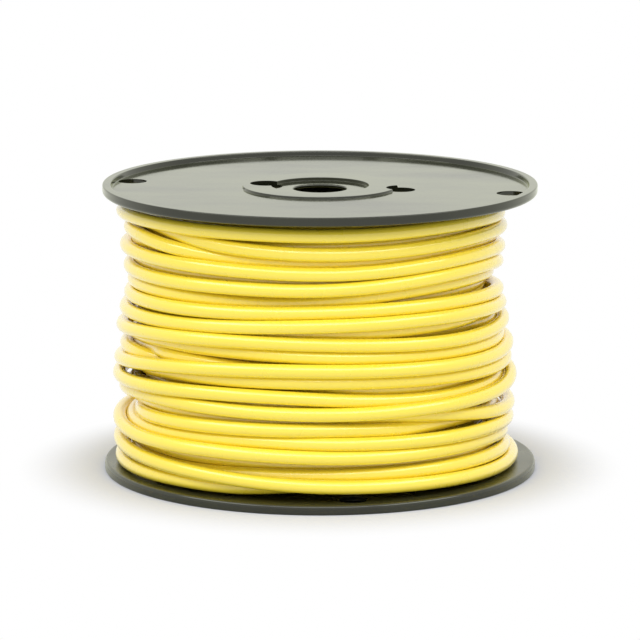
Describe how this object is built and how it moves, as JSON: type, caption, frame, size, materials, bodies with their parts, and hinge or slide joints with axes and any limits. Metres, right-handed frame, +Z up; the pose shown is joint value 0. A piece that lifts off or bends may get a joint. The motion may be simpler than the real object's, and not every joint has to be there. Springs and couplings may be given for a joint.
{
  "type": "wire spool",
  "caption": "Plastic spool of two rimmed round flanges on a drum, wound full with one length of yellow insulated wire.",
  "frame": {"origin": "middle of the spool's base, on the surface that it stands on, on its axis", "axes": "+Z up along the spool's axis; the picture looks along +Y; +X to the picture's right"},
  "size_m": [0.105, 0.105, 0.07],
  "materials": {
    "flange_plastic": "moulded, slightly glossy, fine scratches",
    "barrel_plastic": "moulded, satin",
    "wire_insulation": "smooth satin thermoplastic",
    "conductor_copper": "bare copper, freshly cut"
  },
  "bodies": {
    "root": {"top_flange": "flange_plastic", "bottom_flange": "flange_plastic", "drum_barrel": "barrel_plastic", "wire_inner_layers": "wire_insulation", "wire_outer_turns": "wire_insulation", "inner_conductor_end": "conductor_copper", "outer_conductor_end": "conductor_copper"}
  },
  "joints": []
}
